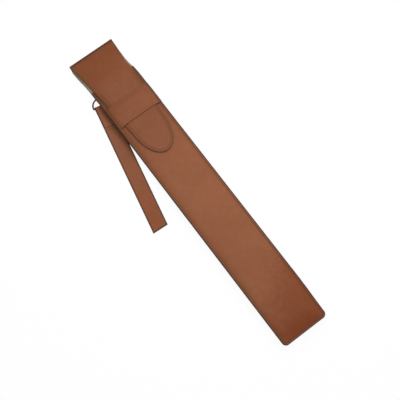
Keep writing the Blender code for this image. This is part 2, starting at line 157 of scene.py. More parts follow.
# Spacing of columns over a sewn margin, inwards from the edge, close at the stitches.
MARGIN_STEPS = [0.0, 0.25, 0.5, 0.85, 1.2, 1.55, 1.85, 2.1, 2.3, 2.45, 2.58, 2.7, 2.85,
                3.05, 3.3, 3.6, 4.0, 4.5, 5.1, 5.8, 6.6, 7.5, 8.5]


# ---- shapes -----------------------------------------------------------------------
def ease(share):
    share = np.clip(share, 0.0, 1.0)
    return share * share * (3 - 2 * share)


def soft_positive(value, soft):
    """The value where it is positive, fading to 0 below without a kink."""
    return 0.5 * (value + np.sqrt(value * value + soft * soft))


def smaller(first, second, soft):
    """The smaller of the two, with the corner between them rounded."""
    near = np.clip(soft - np.abs(first - second), 0.0, None) / soft
    return np.minimum(first, second) - near * near * soft / 4


def half_width(y):
    share = (TOP - y) / LENGTH
    straight = HALF_TOP + (HALF_BOTTOM - HALF_TOP) * share
    return straight - WAIST * np.exp(-(((y - WAIST_Y) / 15.0) ** 2))


def inset(x, y):
    """Distance in from the bag's outline."""
    half = half_width(y)
    past_x = np.abs(x) - (half - CORNER)
    past_y = (BOTTOM + CORNER) - y
    corner = CORNER - np.hypot(np.maximum(past_x, 0), np.maximum(past_y, 0))
    straight = np.minimum(half - np.abs(x), y - BOTTOM)
    return np.where((past_x > 0) & (past_y > 0), corner, straight)


def end_share(y):
    """Share of the full swell near the foot."""
    share = np.minimum(1.0, (y - BOTTOM - FLANGE) / 24.0)
    return soft_positive(1 - (1 - share) ** 3, 0.05)


def squeeze(y):
    return SWELL_HALF / (half_width(y) - FLANGE)


def front_share(x):
    return soft_positive(1 - (np.abs(x) / SWELL_HALF)**6, 0.12)


def back_share(x):
    """Share of the back's full depth: flat in the middle, rounder on the left."""
    left_flat, right_flat = 7.2, 9.0
    left = np.clip((-x - left_flat) / (SWELL_HALF - left_flat), 0, 1)
    right = np.clip((x - right_flat) / (SWELL_HALF - right_flat), 0, 1)
    return np.where(x < 0, (1 - left * left) ** 3.4, (1 - right**3) ** 1.8)


def ripple(x, y):
    """Faint unevenness of the hide, under a fifth of a millimetre."""
    wave = 0.42 * np.sin(x / 9.7 + 1.1) * np.sin(y / 31.0 + 0.6)
    wave += 0.34 * np.sin(x / 15.0 + y / 47.0 + 2.2)
    wave += 0.24 * np.sin(y / 17.0 - x / 23.0 + 4.0)
    return 0.16 * wave


front_soft = None  # height map over SOFT_X and SOFT_Y, filled by the cloth simulation
SOFT_X = np.linspace(-28.0, 28.0, 29)
SOFT_Y = np.linspace(-218.0, 174.0, 99)


def grid_cell(stations, value):
    """Index of the even station below each value, and the share of the way to the next."""
    spot = (np.asarray(value, float) - stations[0]) / (stations[1] - stations[0])
    spot = np.clip(spot, 0, len(stations) - 1.001)
    cell = spot.astype(int)
    return cell, spot - cell


def sampled(grid, x, y):
    """Bilinear look-up of a grid laid over SOFT_X and SOFT_Y."""
    if grid is None:
        return 0.0
    col, right = grid_cell(SOFT_X, x)
    row, up = grid_cell(SOFT_Y, y)
    return ((grid[row, col] * (1 - right) + grid[row, col + 1] * right) * (1 - up)
            + (grid[row + 1, col] * (1 - right) + grid[row + 1, col + 1] * right) * up)


def front_base(x, y):
    """Inside of the front lining."""
    mask = ease((inset(x, y) - 3.6) / 7.0)
    rise = FRONT_RISE * front_share(x * squeeze(y)) * end_share(y)
    return SEAM_Z + SEAM_GAP + rise + ripple(x, y) * mask + sampled(front_soft, x, y)


def back_base(x, y):
    """Inside of the back lining, flattening towards the fold."""
    depth = BACK_SINK * back_share(x * squeeze(y)) * np.minimum(end_share(y), 1.0)
    flat = ease((y - 172.0) / 42.0)
    return (SEAM_Z - SEAM_GAP - depth) * (1 - flat) + (FOLD_Z - FOLD_INNER) * flat


def slopes(base, x, y, step=0.1):
    slope_x = (base(x + step, y) - base(x - step, y)) / (2 * step)
    slope_y = (base(x, y + step) - base(x, y - step)) / (2 * step)
    return slope_x, slope_y


def above(base, x, y, distance):
    """Height of the surface that lies a distance out, square to the base."""
    slope_x, slope_y = slopes(base, x, y)
    return base(x, y) + distance * np.sqrt(1 + slope_x * slope_x + slope_y * slope_y)


def front_face(x, y):
    return above(front_base, x, y, SKIN)


def back_face(x, y):
    return above(back_base, x, y, -SKIN)


def laid(base, x, y, side=1.0):
    """Points and outward normals of a height function; side -1 faces down."""
    z = base(x, y)
    slope_x, slope_y = slopes(base, x, y)
    normal = np.stack([-slope_x * side, -slope_y * side, np.full_like(z, side)], -1)
    normal /= np.linalg.norm(normal, axis=-1, keepdims=True)
    return np.stack([x, y, z], -1), normal


def flap_half(y):
    upper = (TOP - y) / (TOP - KEEPER_BOTTOM)
    lower = (KEEPER_BOTTOM - y) / (KEEPER_BOTTOM - TONGUE_START)
    return np.where(y > KEEPER_BOTTOM,
                    FLAP_HALF_TOP + (FLAP_HALF_KEEPER - FLAP_HALF_TOP) * upper,
                    FLAP_HALF_KEEPER + (TONGUE_HALF - FLAP_HALF_KEEPER) * lower)


def flap_slope(x):
    """Angle of the flap between the fold and the mouth."""
    rise = front_face(x, MOUTH - 0.5 + 0 * x) + FLAP_LIFT - FOLD_Z
    run = FOLD_Y - MOUTH - 2.0
    return np.arctan2(rise, run) - np.arcsin(FOLD_INNER / np.hypot(rise, run))


def flap_base(x, y):
    """Inside face of the flap's lining from the fold to the tip."""
    turn = np.pi / 2 - flap_slope(x)
    start_y = FOLD_Y + FOLD_INNER * np.cos(turn)
    start_z = FOLD_Z + FOLD_INNER * np.sin(turn)
    straight = start_z + np.tan(flap_slope(x)) * (start_y - y)
    flat = front_face(x, np.minimum(y, MOUTH - 0.5)) + FLAP_LIFT
    return smaller(straight, flat, 1.4)


def flap_top(x, y):
    return above(flap_base, x, y, SKIN)


def keeper_base(x, y):
    """Underside of the keeper: over the flap in the middle, down to the seams."""
    end_air = 0.12
    start = flap_half(y) + 0.5
    share = 1 - ease((np.abs(x) - start) / (31.2 - start))
    air = 0.22 - 0.11 * ease((y - KEEPER_TOP + 8.0) / 7.0)
    return front_face(x, y) + end_air + (FLAP_LIFT + SKIN + air - end_air) * share


def keeper_pared(x, y):
    """What is pared off the band towards its upper edge and its lower left corner."""
    upper = (LEATHER - 0.15) * (1 - ease((KEEPER_TOP - y) / 9.0))
    corner = (LEATHER - 0.35) * (1 - ease((y - KEEPER_BOTTOM) / 6.0)) * ease((-x - 22.5) / 5.0)
    return np.maximum(upper, corner)


def keeper_top(x, y):
    return above(keeper_base, x, y, LEATHER) - keeper_pared(x, y)


# ---- cloth simulation ---------------------------------------------------------------
SOFT_CAP = 0.55  # the most that the simulated leather may move from its drawn shape
SETTLE_FRAMES = 24
LEATHER_CLOTH = {
    "quality": 8, "mass": 0.02,
    "tension_stiffness": 18.0, "compression_stiffness": 18.0,
    "shear_stiffness": 9.0, "bending_stiffness": 2.0,
    "tension_damping": 8.0, "compression_damping": 8.0,
    "shear_damping": 8.0, "bending_damping": 1.0, "air_damping": 2.0,
    "vertex_group_mass": "held", "pin_stiffness": 4.0,
    "shrink_min": 1 - 1.003,  # below zero, so the panel grows a little and has slack
    "use_pressure": True, "uniform_pressure_force": 1.2,
}


def grid_quads(row_count, col_count):
    index = np.arange(row_count * col_count).reshape(row_count, col_count)
    corners = [index[:-1, :-1], index[:-1, 1:], index[1:, 1:], index[1:, :-1]]
    return np.stack(corners, -1).reshape(-1, 4)


def smooth(values):
    """Evens out neighbouring rows in place, keeping the first and last."""
    values[1:-1] = (values[:-2] + 2 * values[1:-1] + values[2:]) / 4


def pinned(x, y):
    """1 where the sewn margins hold the leather, falling to 0 over the free part."""
    side = 1 - ease((SWELL_HALF - 0.6 - np.abs(x * squeeze(y))) / 3.0)
    foot = 1 - ease((y - BOTTOM - 5.0) / 4.0)
    hem = 0.8 * ease((y - MOUTH + 5.0) / 4.0)
    return np.clip(np.maximum(np.maximum(side, foot), hem), 0, 1)


def settling_panel(x, y, z):
    """The front panel as a cloth object, held at its margins."""
    mesh = bpy.data.meshes.new("settling_panel")
    points = np.stack([x, y, z], -1).reshape(-1, 3) * MM
    mesh.from_pydata(points.tolist(), [], grid_quads(*x.shape).tolist())
    mesh.update()
    obj = bpy.data.objects.new("settling_panel", mesh)
    bpy.context.scene.collection.objects.link(obj)
    hold = obj.vertex_groups.new(name="held")
    for vertex, weight in enumerate(pinned(x, y).ravel()):
        if weight > 0.001:
            hold.add([vertex], float(weight), "REPLACE")
    settling = obj.modifiers.new("leather_settles", "CLOTH")
    for key, value in LEATHER_CLOTH.items():
        setattr(settling.settings, key, value)
    settling.settings.effector_weights.gravity = 0.0
    settling.collision_settings.use_collision = False
    settling.collision_settings.use_self_collision = False
    settling.point_cache.frame_start = 1
    settling.point_cache.frame_end = SETTLE_FRAMES
    return obj


def settle_front():
    """Lets the front panel swell and settle as cloth between its sewn margins, and keeps
    how far each spot moved, capped, as a height map that the leather is built from."""
    x, y = np.meshgrid(SOFT_X, SOFT_Y)
    z = front_base(x, y)
    obj = settling_panel(x, y, z)
    mesh = obj.data
    scene = bpy.context.scene
    first_frame = scene.frame_current
    for step in range(1, SETTLE_FRAMES + 1):
        scene.frame_set(step)
    moved = obj.evaluated_get(bpy.context.evaluated_depsgraph_get())
    spots = np.empty(x.size * 3, np.float32)
    moved.data.vertices.foreach_get("co", spots)
    scene.frame_set(first_frame)
    bpy.data.objects.remove(obj, do_unlink=True)
    bpy.data.meshes.remove(mesh)
    lift = spots.reshape(*x.shape, 3)[..., 2].astype(float) / MM - z
    lift = SOFT_CAP * np.tanh(np.nan_to_num(lift) / SOFT_CAP)
    for _ in range(2):
        smooth(lift)
        smooth(lift.T)
    return np.round(lift * (1 - pinned(x, y)) ** 0.5, 3)


# ---- mesh builders ------------------------------------------------------------------
def unit(vectors):
    return vectors / np.maximum(np.linalg.norm(vectors, axis=-1, keepdims=True), 1e-12)


def make_object(name, points, faces, material, data):
    """A smooth-shaded object; data holds its point attributes by name."""
    mesh = bpy.data.meshes.new(name)
    mesh.from_pydata((np.asarray(points) * MM).tolist(), [], faces)
    mesh.update()
    for key, values in data.items():
        values = np.asarray(values, np.float32)
        kind = "FLOAT_VECTOR" if values.ndim == 2 else "FLOAT"
        made = mesh.attributes.new(key, kind, "POINT")
        made.data.foreach_set("vector" if values.ndim == 2 else "value", values.ravel())
    mesh.shade_smooth()
    mesh.set_sharp_from_angle(angle=math.radians(52))
    obj = bpy.data.objects.new(name, mesh)
    bpy.context.scene.collection.objects.link(obj)
    mesh.materials.append(material)
    return obj


def fit(obj, body, node):
    """Parents the piece to its body's empty, so it moves with that body, and hides the frame's
    part that it stands for.
    """
    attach(obj, body)
    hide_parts(node)


def border(row_count, col_count):
    """Rows and columns of the points round the edge of a grid."""
    last_row, last_col = row_count - 1, col_count - 1
    rows = np.concatenate([np.zeros(col_count, int), np.arange(1, row_count),
                           np.full(last_col, last_row), np.arange(last_row - 1, 0, -1)])
    cols = np.concatenate([np.arange(col_count), np.full(last_row, last_col),
                           np.arange(last_col - 1, -1, -1), np.zeros(row_count - 2, int)])
    return rows, cols


def over_shell(values, rim_value=None):
    """Grid values spread over a shell's two faces and its rim."""
    row_count, col_count = values.shape[:2]
    rows, cols = border(row_count, col_count)
    flat = values.reshape(row_count * col_count, -1)
    edge = values[rows, cols].reshape(len(rows), -1)
    if rim_value is not None:
        edge = np.full_like(edge, rim_value)
    return np.concatenate([flat, flat] + [edge] * (RIM_STEPS - 1))


def shell(name, base, normal, inner, outer, place, material, radius=EDGE,
          flush=False, cut=None, seam=None, dip=0.0, dye=1.0):
    """A sheet with rounded edges: a grid of base points thickened from inner to outer
    along its normals. A flush sheet has one end left square, to meet its neighbour: its
    last row if it is a panel, its first if it is a flap, as "last" or "first" says.
    cut and seam are distances from the cut edge and the stitching, dip is how far the
    face is pressed in, and dye is how strongly the rim is painted."""
    shape = row_count, col_count = base.shape[:2]
    face_size = row_count * col_count
    along_cols = np.gradient(base, axis=1)
    along_rows = np.gradient(base, axis=0)
    sign = 1.0 if np.sum(np.cross(along_cols, along_rows) * normal) > 0 else -1.0
    cut = np.full(shape, FAR) if cut is None else cut
    seam = np.full(shape, FAR) if seam is None else seam
    high = outer - (dip + np.zeros(shape))
    low = inner + np.zeros(shape)
    rows, cols = border(*shape)
    loop = base[rows, cols]
    up = normal[rows, cols]
    tangent = unit(unit(np.roll(loop, -1, 0) - loop) + unit(loop - np.roll(loop, 1, 0)))
    away = unit(np.cross(tangent, up)) * sign
    reach = np.full(len(rows), radius)
    if flush:
        row = 0 if flush == "first" else row_count - 1
        on_row = rows == row
        reach[on_row & (cols > 0) & (cols < col_count - 1)] = 0.0
        for col, way in ((0, -1.0), (col_count - 1, 1.0)):
            away[on_row & (cols == col)] = unit(along_cols[row, col] * way)
    level = (high[rows, cols] + low[rows, cols]) / 2
    half = (high[rows, cols] - low[rows, cols]) / 2
    rings = []
    for k in range(1, RIM_STEPS):
        turn = math.pi * k / RIM_STEPS
        rise = math.cos(turn)
        rise = math.copysign(abs(rise) ** RIM_SQUARENESS, rise)
        bulge = math.sin(turn)**RIM_SQUARENESS
        rings.append(loop + up * (level + half * rise)[:, None]
                     + away * (reach * bulge)[:, None])
    points = np.concatenate([(base + normal * high[..., None]).reshape(-1, 3),
                             (base + normal * low[..., None]).reshape(-1, 3)] + rings)

    quad = grid_quads(*shape)
    under = quad[:, ::-1] + face_size
    ring_size = len(rows)
    edge_index = rows * col_count + cols
    layers = [edge_index]
    for k in range(RIM_STEPS - 1):
        layers.append(2 * face_size + k * ring_size + np.arange(ring_size))
    layers.append(edge_index + face_size)
    rim = [np.stack([upper, lower, np.roll(lower, -1), np.roll(upper, -1)], -1)
           for upper, lower in zip(layers[:-1], layers[1:])]
    quads = np.concatenate([quad, under] + rim)
    if sign < 0:
        quads = quads[:, ::-1]

    tint = dye[rows, cols] if np.ndim(dye) else dye
    where = over_shell(np.concatenate([place, np.zeros((*shape, 1))], -1))
    where[face_size: 2 * face_size, 2] = INSIDE_PLACE
    painted = (reach > 0) * (cut[rows, cols] < 3.0) * tint
    data = {
        "place": where,
        "cut": over_shell(cut, rim_value=0.0)[:, 0],
        "seam": over_shell(seam)[:, 0],
        "rim": np.concatenate([np.zeros(2 * face_size)] + [painted] * len(rings)),
    }
    return make_object(name, points, quads.tolist(), material, data)


def stitches(name, points, normals, material, pitch=PITCH, length=2.55, wide=0.33, tall=0.27,
             lift=0.0, dive=0.3, slant=7.0, keep=None):
    """Lock stitches along a path: short rounded floats whose ends dive into the leather.
    wide and tall are half a float's section, slant is in degrees."""
    step = np.linalg.norm(np.diff(points, axis=0), axis=1)
    run = np.concatenate([[0.0], np.cumsum(step)])

    def at(values, where):
        return np.stack([np.interp(where, run, values[:, k]) for k in range(3)], -1)

    starts = np.arange(0.4, run[-1] - length, pitch)
    first, last = at(points, starts), at(points, starts + length)
    middle = at(points, starts + length / 2)
    up = unit(at(normals, starts + length / 2))
    if keep is not None:
        good = keep(first) & keep(last)
        first, last, middle, up = first[good], last[good], middle[good], up[good]
    ahead = unit(last - first)
    side = unit(np.cross(up, ahead))
    lean = math.radians(slant)
    ahead = ahead * math.cos(lean) + side * math.sin(lean)
    side = unit(np.cross(up, ahead))
    centre = (first + last) / 4 + middle / 2
    stations = np.array([-1.0, -0.97, -0.88, -0.7, -0.4, 0.0, 0.4, 0.7, 0.88, 0.97, 1.0])
    girths = np.sqrt(np.maximum(1 - np.abs(stations) ** 3.2, 0.0004))
    sides = 8
    count = len(first)
    spots, places = [], []
    for t, girth in zip(stations, girths):
        for k in range(sides):
            turn = 2 * math.pi * k / sides
            spots.append(centre + ahead * (t * length / 2) + side * (wide * girth * math.cos(turn))
                         + up * (tall * girth * math.sin(turn) + lift - dive * t * t))
            places.append(np.stack([np.full(count, t * length / 2),
                                    np.full(count, turn / (2 * math.pi)),
                                    np.arange(count) * 1.0], -1))
    ring_count = len(stations)
    faces = []
    for stitch in range(count):
        start = stitch * ring_count * sides
        for i in range(ring_count - 1):
            ring, after = start + i * sides, start + (i + 1) * sides
            for k in range(sides):
                k2 = (k + 1) % sides
                faces.append((ring + k, ring + k2, after + k2, after + k))
        faces.append(tuple(start + k for k in reversed(range(sides))))
        faces.append(tuple(start + (ring_count - 1) * sides + k for k in range(sides)))
    place = np.stack(places, 1).reshape(-1, 3)
    return make_object(name, np.stack(spots, 1).reshape(-1, 3), faces, material, {"place": place})


def read_vectors(items, key, count):
    values = np.empty(count * 3, np.float32)
    items.foreach_get(key, values)
    return values.reshape(-1, 3)


def join(name, objects):
    """One piece from several."""
    points, faces, places = [], [], []
    offset = 0
    for obj in objects:
        mesh = obj.data
        count = len(mesh.vertices)
        points.append(read_vectors(mesh.vertices, "co", count) / MM)
        places.append(read_vectors(mesh.attributes["place"].data, "vector", count))
        faces += [tuple(v + offset for v in face.vertices) for face in mesh.polygons]
        offset += count
    material = objects[0].data.materials[0]
    for obj in objects:
        bpy.data.objects.remove(obj, do_unlink=True)
    return make_object(name, np.concatenate(points), faces, material,
                       {"place": np.concatenate(places)})


def ring_tube(name, path, radius, material, sides=20):
    """A closed round wire lying in the ring's plane."""
    path = np.asarray(path)
    count = len(path)
    tangent = unit(np.roll(path, -1, 0) - np.roll(path, 1, 0))
    plane = unit(np.cross(ACROSS, CROWN))
    side = unit(np.cross(np.broadcast_to(plane, tangent.shape), tangent))
    points = []
    for k in range(sides):
        turn = 2 * math.pi * k / sides
        points.append(path + (side * math.cos(turn) + plane * math.sin(turn)) * radius)
    points = np.stack(points, 1)
    step = np.linalg.norm(np.roll(path, -1, 0) - path, axis=1)
    place = np.zeros((count, sides, 3))
    place[..., 0] = (np.cumsum(step) - step)[:, None]
    place[..., 1] = np.arange(sides) / sides * 2 * math.pi * radius
    index = np.arange(count * sides).reshape(count, sides)
    turned = np.roll(index, -1, 1)
    faces = np.stack([index, turned, np.roll(turned, -1, 0), np.roll(index, -1, 0)], -1)
    return make_object(name, points.reshape(-1, 3), faces.reshape(-1, 4).tolist(), material,
                       {"place": place.reshape(-1, 3)})


# ---- materials ----------------------------------------------------------------------
def darker(colour, factor):
    return tuple(channel * factor for channel in colour)


class Nodes:
    """Short names for building a node tree."""

    def __init__(self, name):
        self.material = bpy.data.materials.new(name)
        self.material.use_nodes = True
        self.tree = self.material.node_tree
        self.shader = self.tree.nodes["Principled BSDF"]

    def put(self, socket, value):
        if isinstance(value, bpy.types.NodeSocket):
            self.tree.links.new(value, socket)
        elif isinstance(value, tuple) and len(value) == 3 and socket.type == "RGBA":
            socket.default_value = (*value, 1.0)
        else:
            socket.default_value = value

    def surface(self, **inputs):
        """Fills the shader's inputs; Base_Color stands for "Base Color"."""
        for key, value in inputs.items():
            self.put(self.shader.inputs[key.replace("_", " ")], value)

    def new(self, kind, inputs=(), **settings):
        node = self.tree.nodes.new(kind)
        for key, value in settings.items():
            setattr(node, key, value)
        for key, value in dict(inputs).items():
            self.put(node.inputs[key], value)
        return node

    def value(self, name):
        return self.new("ShaderNodeAttribute", attribute_name=name).outputs["Fac"]

    def vector(self, name):
        return self.new("ShaderNodeAttribute", attribute_name=name).outputs["Vector"]

    def split(self, where):
        parts = self.new("ShaderNodeSeparateXYZ", {"Vector": where})
        return parts.outputs["X"], parts.outputs["Y"]

    def math(self, operation, first, second=0.0, clamp=False):
        node = self.new("ShaderNodeMath", operation=operation, use_clamp=clamp)
        for socket, value in zip(node.inputs, (first, second, 0.0)):
            self.put(socket, value)
        return node.outputs[0]

    def add(self, first, second):
        return self.math("ADD", first, second)

    def minus(self, first, second):
        return self.math("SUBTRACT", first, second)

    def times(self, first, second):
        return self.math("MULTIPLY", first, second)

    def size(self, value):
        return self.math("ABSOLUTE", value)

    def invert(self, value):
        return self.minus(1.0, value)

    def swing(self, value, reach):
        """A 0 to 1 value spread about zero over the reach."""
        return self.times(self.minus(value, 0.5), reach)

    def weighted(self, *terms):
        """Sum of (value, weight) pairs."""
        total = None
        for value, weight in terms:
            part = self.times(value, weight)
            total = part if total is None else self.add(total, part)
        return total

    def ramp(self, value, start, end, low=0.0, high=1.0):
        node = self.new("ShaderNodeMapRange", interpolation_type="SMOOTHSTEP")
        for socket, setting in zip(node.inputs, (value, start, end, low, high)):
            self.put(socket, setting)
        return node.outputs[0]

    def fall(self, value, start, end):
        return self.ramp(value, start, end, low=1.0, high=0.0)

    def mix(self, share, first, second, blend="MIX"):
        node = self.new("ShaderNodeMix", data_type="RGBA", blend_type=blend, clamp_factor=True)
        for index, value in ((0, share), (6, first), (7, second)):
            self.put(node.inputs[index], value)
        return node.outputs[2]

    def tinted(self, colour, tint):
        return self.mix(1.0, colour, tint, "MULTIPLY")

    # Tints the colour towards colour times tint by share; every use paints light or shade.
    def painted_light_tint(self, share, colour, tint):
        return self.mix(share, colour, self.tinted(colour, tint))

    def noise(self, where, scale, detail=3.0, rough=0.55, distortion=0.0):
        inputs = {"Vector": where, "Scale": scale, "Detail": detail, "Roughness": rough,
                  "Distortion": distortion}
        return self.new("ShaderNodeTexNoise", inputs).outputs["Fac"]

    def scaled(self, where, scale):
        node = self.new("ShaderNodeVectorMath", operation="MULTIPLY")
        self.put(node.inputs[0], where)
        self.put(node.inputs[1], scale)
        return node.outputs[0]

    def bump(self, height, distance, strength, normal=None):
        """Distance is in metres."""
        inputs = {"Height": height, "Distance": distance, "Strength": strength}
        if normal is not None:
            inputs["Normal"] = normal
        return self.new("ShaderNodeBump", inputs).outputs["Normal"]


# The edge paint's dark brown is also the base of the painted shade along the fold.
EDGE_PAINT_AND_FOLD_SHADE = (0.082, 0.035, 0.0190)  # dark brown of the painted edges


def bag_painted_shading(net, colour, across, along, cloud):
    """Painted light and shade along the bag: painted shade towards the foot, over the upper part
    and the flap, near and along the fold, and a painted sheen on the flanks; along is the bag's Y,
    or FLAP_PLACE and up on the flap.
    """
    slanted = net.minus(along, net.times(across, 0.8))
    slanted = net.add(slanted, net.swing(cloud, reach=40.0))
    # Painted shade towards the foot, its edge slanted across the bag and made uneven.
    foot = net.fall(slanted, start=-205.0, end=-122.0)
    colour = net.painted_light_tint(foot, colour, tint=(0.77, 0.57, 0.37))
    # Painted shade over the upper part of the bag and the whole flap.
    upper = net.times(net.ramp(along, start=20.0, end=150.0), 0.45)
    colour = net.painted_light_tint(upper, colour, tint=(0.68, 0.58, 0.50))
    # Painted shade on the flap near the fold, where it slopes away.
    flap_top_shade = net.times(net.fall(along, start=412.0, end=462.0),
                               net.ramp(along, start=FLAP_PLACE - 1, end=FLAP_PLACE))
    colour = net.painted_light_tint(flap_top_shade, colour, tint=(0.90, 0.84, 0.74))
    # Painted sheen: greyer, paler colour towards both sides of the bag below the keeper.
    flank_sheen = net.times(net.ramp(net.size(across), start=9.0, end=26.0),
                      net.fall(along, start=115.0, end=160.0))
    colour = net.painted_light_tint(flank_sheen, colour, tint=(1.05, 1.13, 1.32))
    # Painted shade along the fold, uneven along its length.
    from_fold = net.size(net.minus(along, 410.3))
    fold_shade = net.fall(from_fold, start=3.3, end=6.8)
    fold_shade = net.times(fold_shade, net.ramp(cloud, start=0.3, end=0.7, low=0.68, high=0.92))
    return net.mix(fold_shade, colour, darker(EDGE_PAINT_AND_FOLD_SHADE, 0.7))


def strap_tone_and_painted_light(net, colour, along):
    """Colour along the strap, lighter and greyer towards the ring and more orange towards the free
    end, with a painted light near the ring that lifts the shade the bag casts on it; along is
    measured from the tail's end.
    """
    head = net.fall(along, start=60.0, end=190.0)
    colour = net.mix(head, net.tinted(colour, tint=(0.99, 0.92, 0.74)),
                     net.tinted(colour, tint=(1.00, 1.14, 1.40)))
    # Painted light near the ring, lifting the shade that the bag casts on the strap.
    return net.painted_light_tint(net.fall(along, start=18.0, end=52.0), colour, tint=(1.12, 1.07, 1.03))


def leather(name, dark, light, rough, strap=False):
    """Satin full-grain leather: fine pebble grain, pores, mottled dye, a dark line beside the
    stitching, painted edges, and painted light and shade along the bag and the strap."""
    net = Nodes(name)
    place = net.vector("place")
    cut, seam, rim = net.value("cut"), net.value("seam"), net.value("rim")
    broad = net.noise(place, scale=0.022, detail=2.0, rough=0.5)
    cloud = net.noise(place, scale=0.16, rough=0.6, distortion=0.4)
    mottle = net.noise(place, scale=0.85, detail=4.0, rough=0.62)
    wander = net.new("ShaderNodeTexNoise", {"Vector": place, "Scale": 0.9, "Detail": 2.0})
    wandering = net.mix(0.14, place, wander.outputs["Color"], "ADD")
    cells = net.new("ShaderNodeTexVoronoi", {"Vector": wandering, "Scale": 1.9,
                                             "Randomness": 1.0}, feature="DISTANCE_TO_EDGE")
    furrow = net.ramp(cells.outputs["Distance"], start=0.0, end=0.20)
    pores = net.noise(place, scale=5.5, detail=2.0, rough=0.6)
    hair = net.noise(net.scaled(place, (2.6, 0.5, 1.0)), scale=0.55, detail=4.0, rough=0.7,
                     distortion=1.2)

    # The flap's edges are lighter and its stitching darkens the leather less.
    on_flap = net.ramp(net.split(place)[1], start=FLAP_PLACE - 1, end=FLAP_PLACE)
    edge = net.mix(on_flap, EDGE_PAINT_AND_FOLD_SHADE, darker(EDGE_PAINT_AND_FOLD_SHADE, 1.55))
    seam_strength = net.minus(0.64, net.times(on_flap, 0.38))
    tone = net.weighted((broad, 0.40), (cloud, 0.30), (mottle, 0.30))
    colour = net.mix(net.ramp(tone, start=0.32, end=0.68), dark, light)
    across, along = net.split(place)
    if strap:
        colour = strap_tone_and_painted_light(net, colour, along)
    else:
        colour = bag_painted_shading(net, colour, across, along, cloud)
    colour = net.mix(net.times(net.invert(furrow), 0.12), colour, dark, "MULTIPLY")
    colour = net.mix(net.times(net.ramp(hair, start=0.60, end=0.74), 0.10), colour, light)
    near_seam = net.fall(seam, start=0.3, end=1.0)
    colour = net.mix(net.times(near_seam, seam_strength), colour, EDGE_PAINT_AND_FOLD_SHADE)
    handled = net.times(net.fall(cut, start=0.5, end=2.2),
                        net.ramp(mottle, start=0.35, end=0.65, low=0.12, high=0.42))
    colour = net.mix(handled, colour, EDGE_PAINT_AND_FOLD_SHADE)
    wrap = net.add(cut, net.swing(mottle, reach=0.5))
    if not strap:  # less paint comes round the edge at the foot
        wrap = net.add(wrap, net.ramp(along, start=-219.4, end=-218.0, low=0.55, high=0.0))
    painted = net.math("MAXIMUM", rim, net.fall(wrap, start=0.8, end=1.75), clamp=True)
    paint = net.mix(mottle, net.tinted(edge, (0.8, 0.8, 0.8)), net.tinted(edge, (1.3, 1.3, 1.3)))

    gloss = net.add(rough, net.times(mottle, 0.16))
    gloss = net.add(gloss, net.times(net.invert(furrow), 0.10))
    gloss = net.add(gloss, net.times(painted, 0.08))
    grain = net.weighted((furrow, 0.62), (pores, 0.30), (mottle, 0.35))
    grain = net.times(grain, net.invert(net.times(painted, 0.75)))
    fine = net.bump(grain, distance=0.00005, strength=0.70)
    net.surface(
        Base_Color=net.mix(painted, colour, paint),
        Roughness=gloss,
        Specular_IOR_Level=net.minus(0.22, net.times(painted, 0.14)),
        Sheen_Weight=net.minus(0.05, net.times(painted, 0.05)),
        Sheen_Roughness=0.4,
        Sheen_Tint=(1.0, 0.82, 0.7),
        Normal=net.bump(net.noise(place, scale=0.12), distance=0.0004, strength=0.35,
                        normal=fine))
    return net.material


def cloth(name, dark, light, pitch=0.5):
    """Plain-woven lining; pitch is the spacing of its threads."""
    net = Nodes(name)
    place = net.vector("place")
    across, along = net.split(place)
    wander = net.times(net.noise(place, scale=0.7, detail=2.0), 0.5)
    warp_wave = net.math("SINE", net.times(net.add(across, wander), math.pi / pitch))
    weft_wave = net.math("SINE", net.times(net.add(along, wander), math.pi / pitch))
    over = net.ramp(net.times(warp_wave, weft_wave), start=-0.12, end=0.12)
    height = net.add(net.times(net.size(warp_wave), over),
                     net.times(net.size(weft_wave), net.invert(over)))
    slub = net.noise(net.scaled(place, (0.25, 2.0, 1.0)), scale=1.0)
    fuzz = net.noise(place, scale=6.0)
    tone = net.weighted((net.noise(place, scale=0.05, detail=2.0), 0.5), (slub, 0.5))
    colour = net.mix(net.ramp(tone, start=0.35, end=0.65), dark, light)
    colour = net.mix(net.times(net.invert(height), 0.55), colour, darker(dark, 0.4))
    colour = net.mix(net.times(net.value("rim"), 0.35), colour, darker(dark, 0.55))
    net.surface(
        Base_Color=colour,
        Roughness=net.add(0.82, net.times(fuzz, 0.12)),
        Sheen_Weight=0.25,
        Specular_IOR_Level=0.2,
        Normal=net.bump(net.add(height, net.times(fuzz, 0.3)), distance=0.00012, strength=0.8))
    return net.material


def thread(name, dark, light):
    """Waxed two-ply thread."""
    net = Nodes(name)
    place = net.vector("place")
    along, around = net.split(place)
    twist_length = 0.8
    twist = net.add(net.times(along, 2 * math.pi / twist_length),
                    net.times(around, 4 * math.pi))
    ply = net.size(net.math("SINE", net.times(twist, 0.5)))
    fibre = net.noise(net.scaled(place, (2.0, 14.0, 1.3)), scale=1.0)
    net.surface(
        Base_Color=net.mix(net.weighted((ply, 0.6), (fibre, 0.4)), dark, light),
        Roughness=net.add(0.48, net.times(fibre, 0.25)),
        Specular_IOR_Level=0.2,
        Sheen_Weight=0.03,
        Normal=net.bump(net.add(ply, net.times(fibre, 0.3)), distance=0.0001, strength=0.8))
    return net.material


def metal(name, dark, light):
    """Dark plated steel wire, with the plating rubbed in patches."""
    net = Nodes(name)
    place = net.vector("place")
    scratch = net.noise(net.scaled(place, (0.6, 9.0, 1.0)), scale=1.0, detail=4.0, rough=0.7)
    cloud = net.noise(place, scale=0.5, detail=4.0, rough=0.65)
    worn = net.ramp(net.weighted((scratch, 0.5), (cloud, 0.5)), start=0.5, end=0.68)
    net.surface(
        Base_Color=net.mix(worn, dark, light),
        Metallic=1.0,
        Roughness=net.add(0.26, net.times(cloud, 0.22)),
        Normal=net.bump(scratch, distance=0.00003, strength=0.5))
    return net.material


